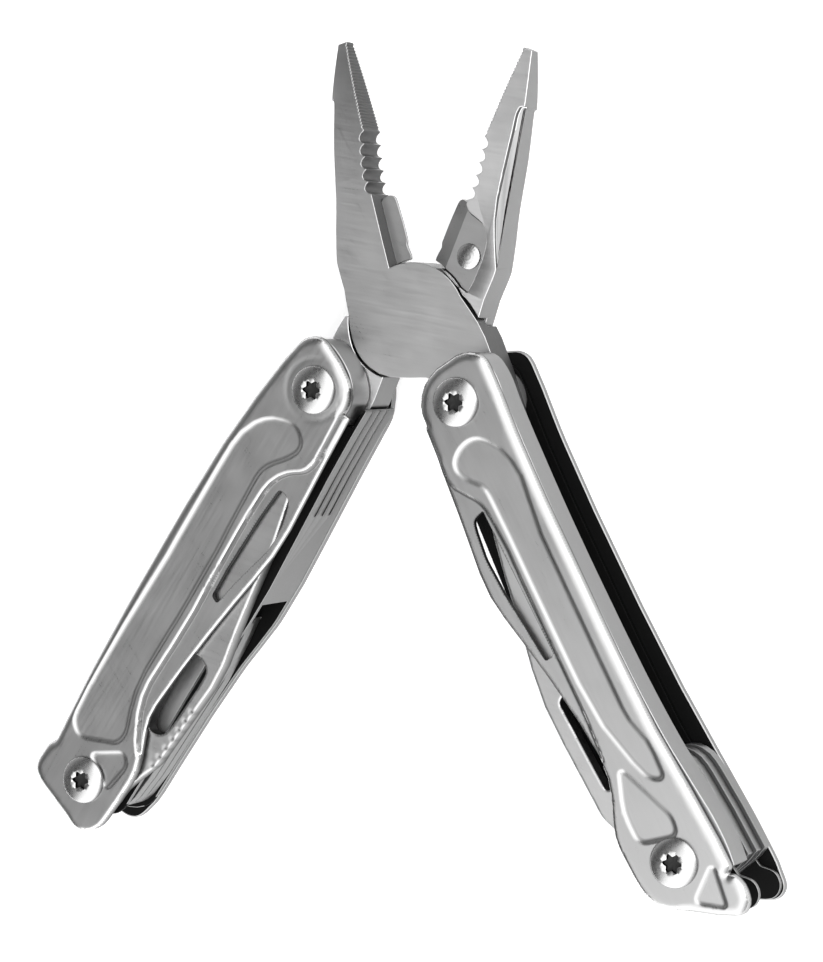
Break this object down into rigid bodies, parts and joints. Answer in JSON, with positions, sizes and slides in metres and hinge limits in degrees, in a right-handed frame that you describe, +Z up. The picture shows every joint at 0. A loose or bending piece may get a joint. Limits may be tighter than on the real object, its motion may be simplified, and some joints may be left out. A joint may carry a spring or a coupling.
{
  "type": "multi tool",
  "caption": "Pocket multi tool: spring-action pliers with wire cutters between two folding handles that hold blades, a file, drivers and openers.",
  "frame": {"origin": "centre of the object's base, under the middle of its bounding box", "axes": "+Z is up through the thickness, from the face it lies on to the screw heads; the jaws point along +Y; +X is towards the handle with the serrated blade"},
  "size_m": [0.1322, 0.1364, 0.0189],
  "materials": {
    "forged_steel": "satin, fine blasted",
    "blasted_steel": "bead-blasted with polished rolled edges",
    "blade_steel": "satin",
    "screw_steel": "semi-polished",
    "plain_steel": "plain, tumbled"
  },
  "bodies": {
    "pivot_pin": {"plier_pivot_pin": "plain_steel", "return_spring": "plain_steel"},
    "front_half": {"front_jaw_half": "forged_steel", "front_cutter_insert": "blade_steel", "front_cutter_rivet": "screw_steel"},
    "rear_half": {"rear_jaw_half": "forged_steel", "rear_cutter_insert": "blade_steel", "rear_cutter_rivet": "screw_steel"},
    "right_handle": {"right_front_plate": "blasted_steel", "right_rear_plate": "blasted_steel", "right_channel": "plain_steel", "right_pocket_rail": "blasted_steel", "right_pivot_barrel": "plain_steel", "right_pivot_screw": "screw_steel", "right_tool_barrel": "plain_steel", "right_tool_screw": "screw_steel", "right_pivot_washer": "plain_steel", "right_pivot_bush": "plain_steel", "right_pocket_spacer": "plain_steel", "right_tool_bush": "plain_steel", "right_blade_washer_rear": "plain_steel", "right_blade_washer_front": "plain_steel"},
    "left_handle": {"left_front_plate": "blasted_steel", "left_rear_plate": "blasted_steel", "left_channel": "plain_steel", "left_pocket_rail": "blasted_steel", "left_pivot_barrel": "plain_steel", "left_pivot_screw": "screw_steel", "left_tool_barrel": "plain_steel", "left_tool_screw": "screw_steel", "left_pivot_washer": "plain_steel", "left_pivot_bush": "plain_steel", "left_pocket_spacer": "plain_steel", "left_tool_bush": "plain_steel", "left_blade_washer_rear": "plain_steel", "left_blade_washer_front": "plain_steel"},
    "right_tongue": {"right_lock_tongue": "plain_steel"},
    "left_tongue": {"left_lock_tongue": "plain_steel"},
    "knife_blade": {"knife_blade": "blade_steel"},
    "serrated_blade": {"serrated_blade": "blade_steel"},
    "right_file": {"right_file": "blade_steel"},
    "right_cross_driver": {"right_cross_driver": "blade_steel"},
    "right_flat_driver": {"right_flat_driver": "blade_steel"},
    "left_can_opener": {"left_can_opener": "blade_steel"},
    "left_bottle_opener": {"left_bottle_opener": "blade_steel"},
    "left_awl": {"left_awl": "blade_steel"}
  },
  "joints": [
    {"name": "plier_squeeze", "type": "hinge", "parent": "pivot_pin", "child": "rear_half", "pos_m": [-0.00233, 0.02272, 0.0061], "axis": [0, 0, 1], "range_deg": [0, 39], "stiffness_Nm_per_rad": 0.08, "springref_deg": -20.05},
    {"name": "jaw_nesting", "type": "hinge", "parent": "pivot_pin", "child": "front_half", "pos_m": [-0.00233, 0.02272, 0.0061], "axis": [0, 0, 1], "range_deg": [-39, 0]},
    {"name": "right_handle_fold", "type": "hinge", "parent": "front_half", "child": "right_handle", "pos_m": [0.01068, 0.01067, 0.0061], "axis": [0, 0, -1], "range_deg": [-166.8, 0]},
    {"name": "left_handle_fold", "type": "hinge", "parent": "rear_half", "child": "left_handle", "pos_m": [-0.01533, 0.01067, 0.0061], "axis": [0, 0, 1], "range_deg": [-168.6, 0]},
    {"name": "knife_open", "type": "hinge", "parent": "left_handle", "child": "knife_blade", "pos_m": [-0.05583, -0.05948, 0.0139], "axis": [0, 0, -1], "range_deg": [0, 180]},
    {"name": "serrated_open", "type": "hinge", "parent": "right_handle", "child": "serrated_blade", "pos_m": [0.05337, -0.05817, 0.0139], "axis": [0, 0, 1], "range_deg": [0, 180]},
    {"name": "right_file_open", "type": "hinge", "parent": "right_handle", "child": "right_file", "pos_m": [0.05337, -0.05817, 0.00835], "axis": [0, 0, -1], "range_deg": [0, 172]},
    {"name": "right_cross_driver_open", "type": "hinge", "parent": "right_handle", "child": "right_cross_driver", "pos_m": [0.05337, -0.05817, 0.00605], "axis": [0, 0, -1], "range_deg": [0, 172]},
    {"name": "right_flat_driver_open", "type": "hinge", "parent": "right_handle", "child": "right_flat_driver", "pos_m": [0.05337, -0.05817, 0.00375], "axis": [0, 0, -1], "range_deg": [0, 172]},
    {"name": "left_can_opener_open", "type": "hinge", "parent": "left_handle", "child": "left_can_opener", "pos_m": [-0.05583, -0.05948, 0.00835], "axis": [0, 0, 1], "range_deg": [0, 172]},
    {"name": "left_bottle_opener_open", "type": "hinge", "parent": "left_handle", "child": "left_bottle_opener", "pos_m": [-0.05583, -0.05948, 0.00605], "axis": [0, 0, 1], "range_deg": [0, 172]},
    {"name": "left_awl_open", "type": "hinge", "parent": "left_handle", "child": "left_awl", "pos_m": [-0.05583, -0.05948, 0.00375], "axis": [0, 0, 1], "range_deg": [0, 172]},
    {"name": "right_tongue_press", "type": "hinge", "parent": "right_handle", "child": "right_tongue", "pos_m": [0.02836, -0.02543, 0.0116], "axis": [0.8499, 0.527, 0], "range_deg": [0, 2.5], "stiffness_Nm_per_rad": 0.05, "springref_deg": -5.73},
    {"name": "left_tongue_press", "type": "hinge", "parent": "left_handle", "child": "left_tongue", "pos_m": [-0.03187, -0.02597, 0.0116], "axis": [0.866, -0.5, 0], "range_deg": [0, 2.5], "stiffness_Nm_per_rad": 0.05, "springref_deg": -5.73}
  ],
  "couplings": [
    {"joint": "right_handle_fold", "follows": "jaw_nesting", "ratio": 4.2744},
    {"joint": "left_handle_fold", "follows": "jaw_nesting", "ratio": 4.3205}
  ]
}
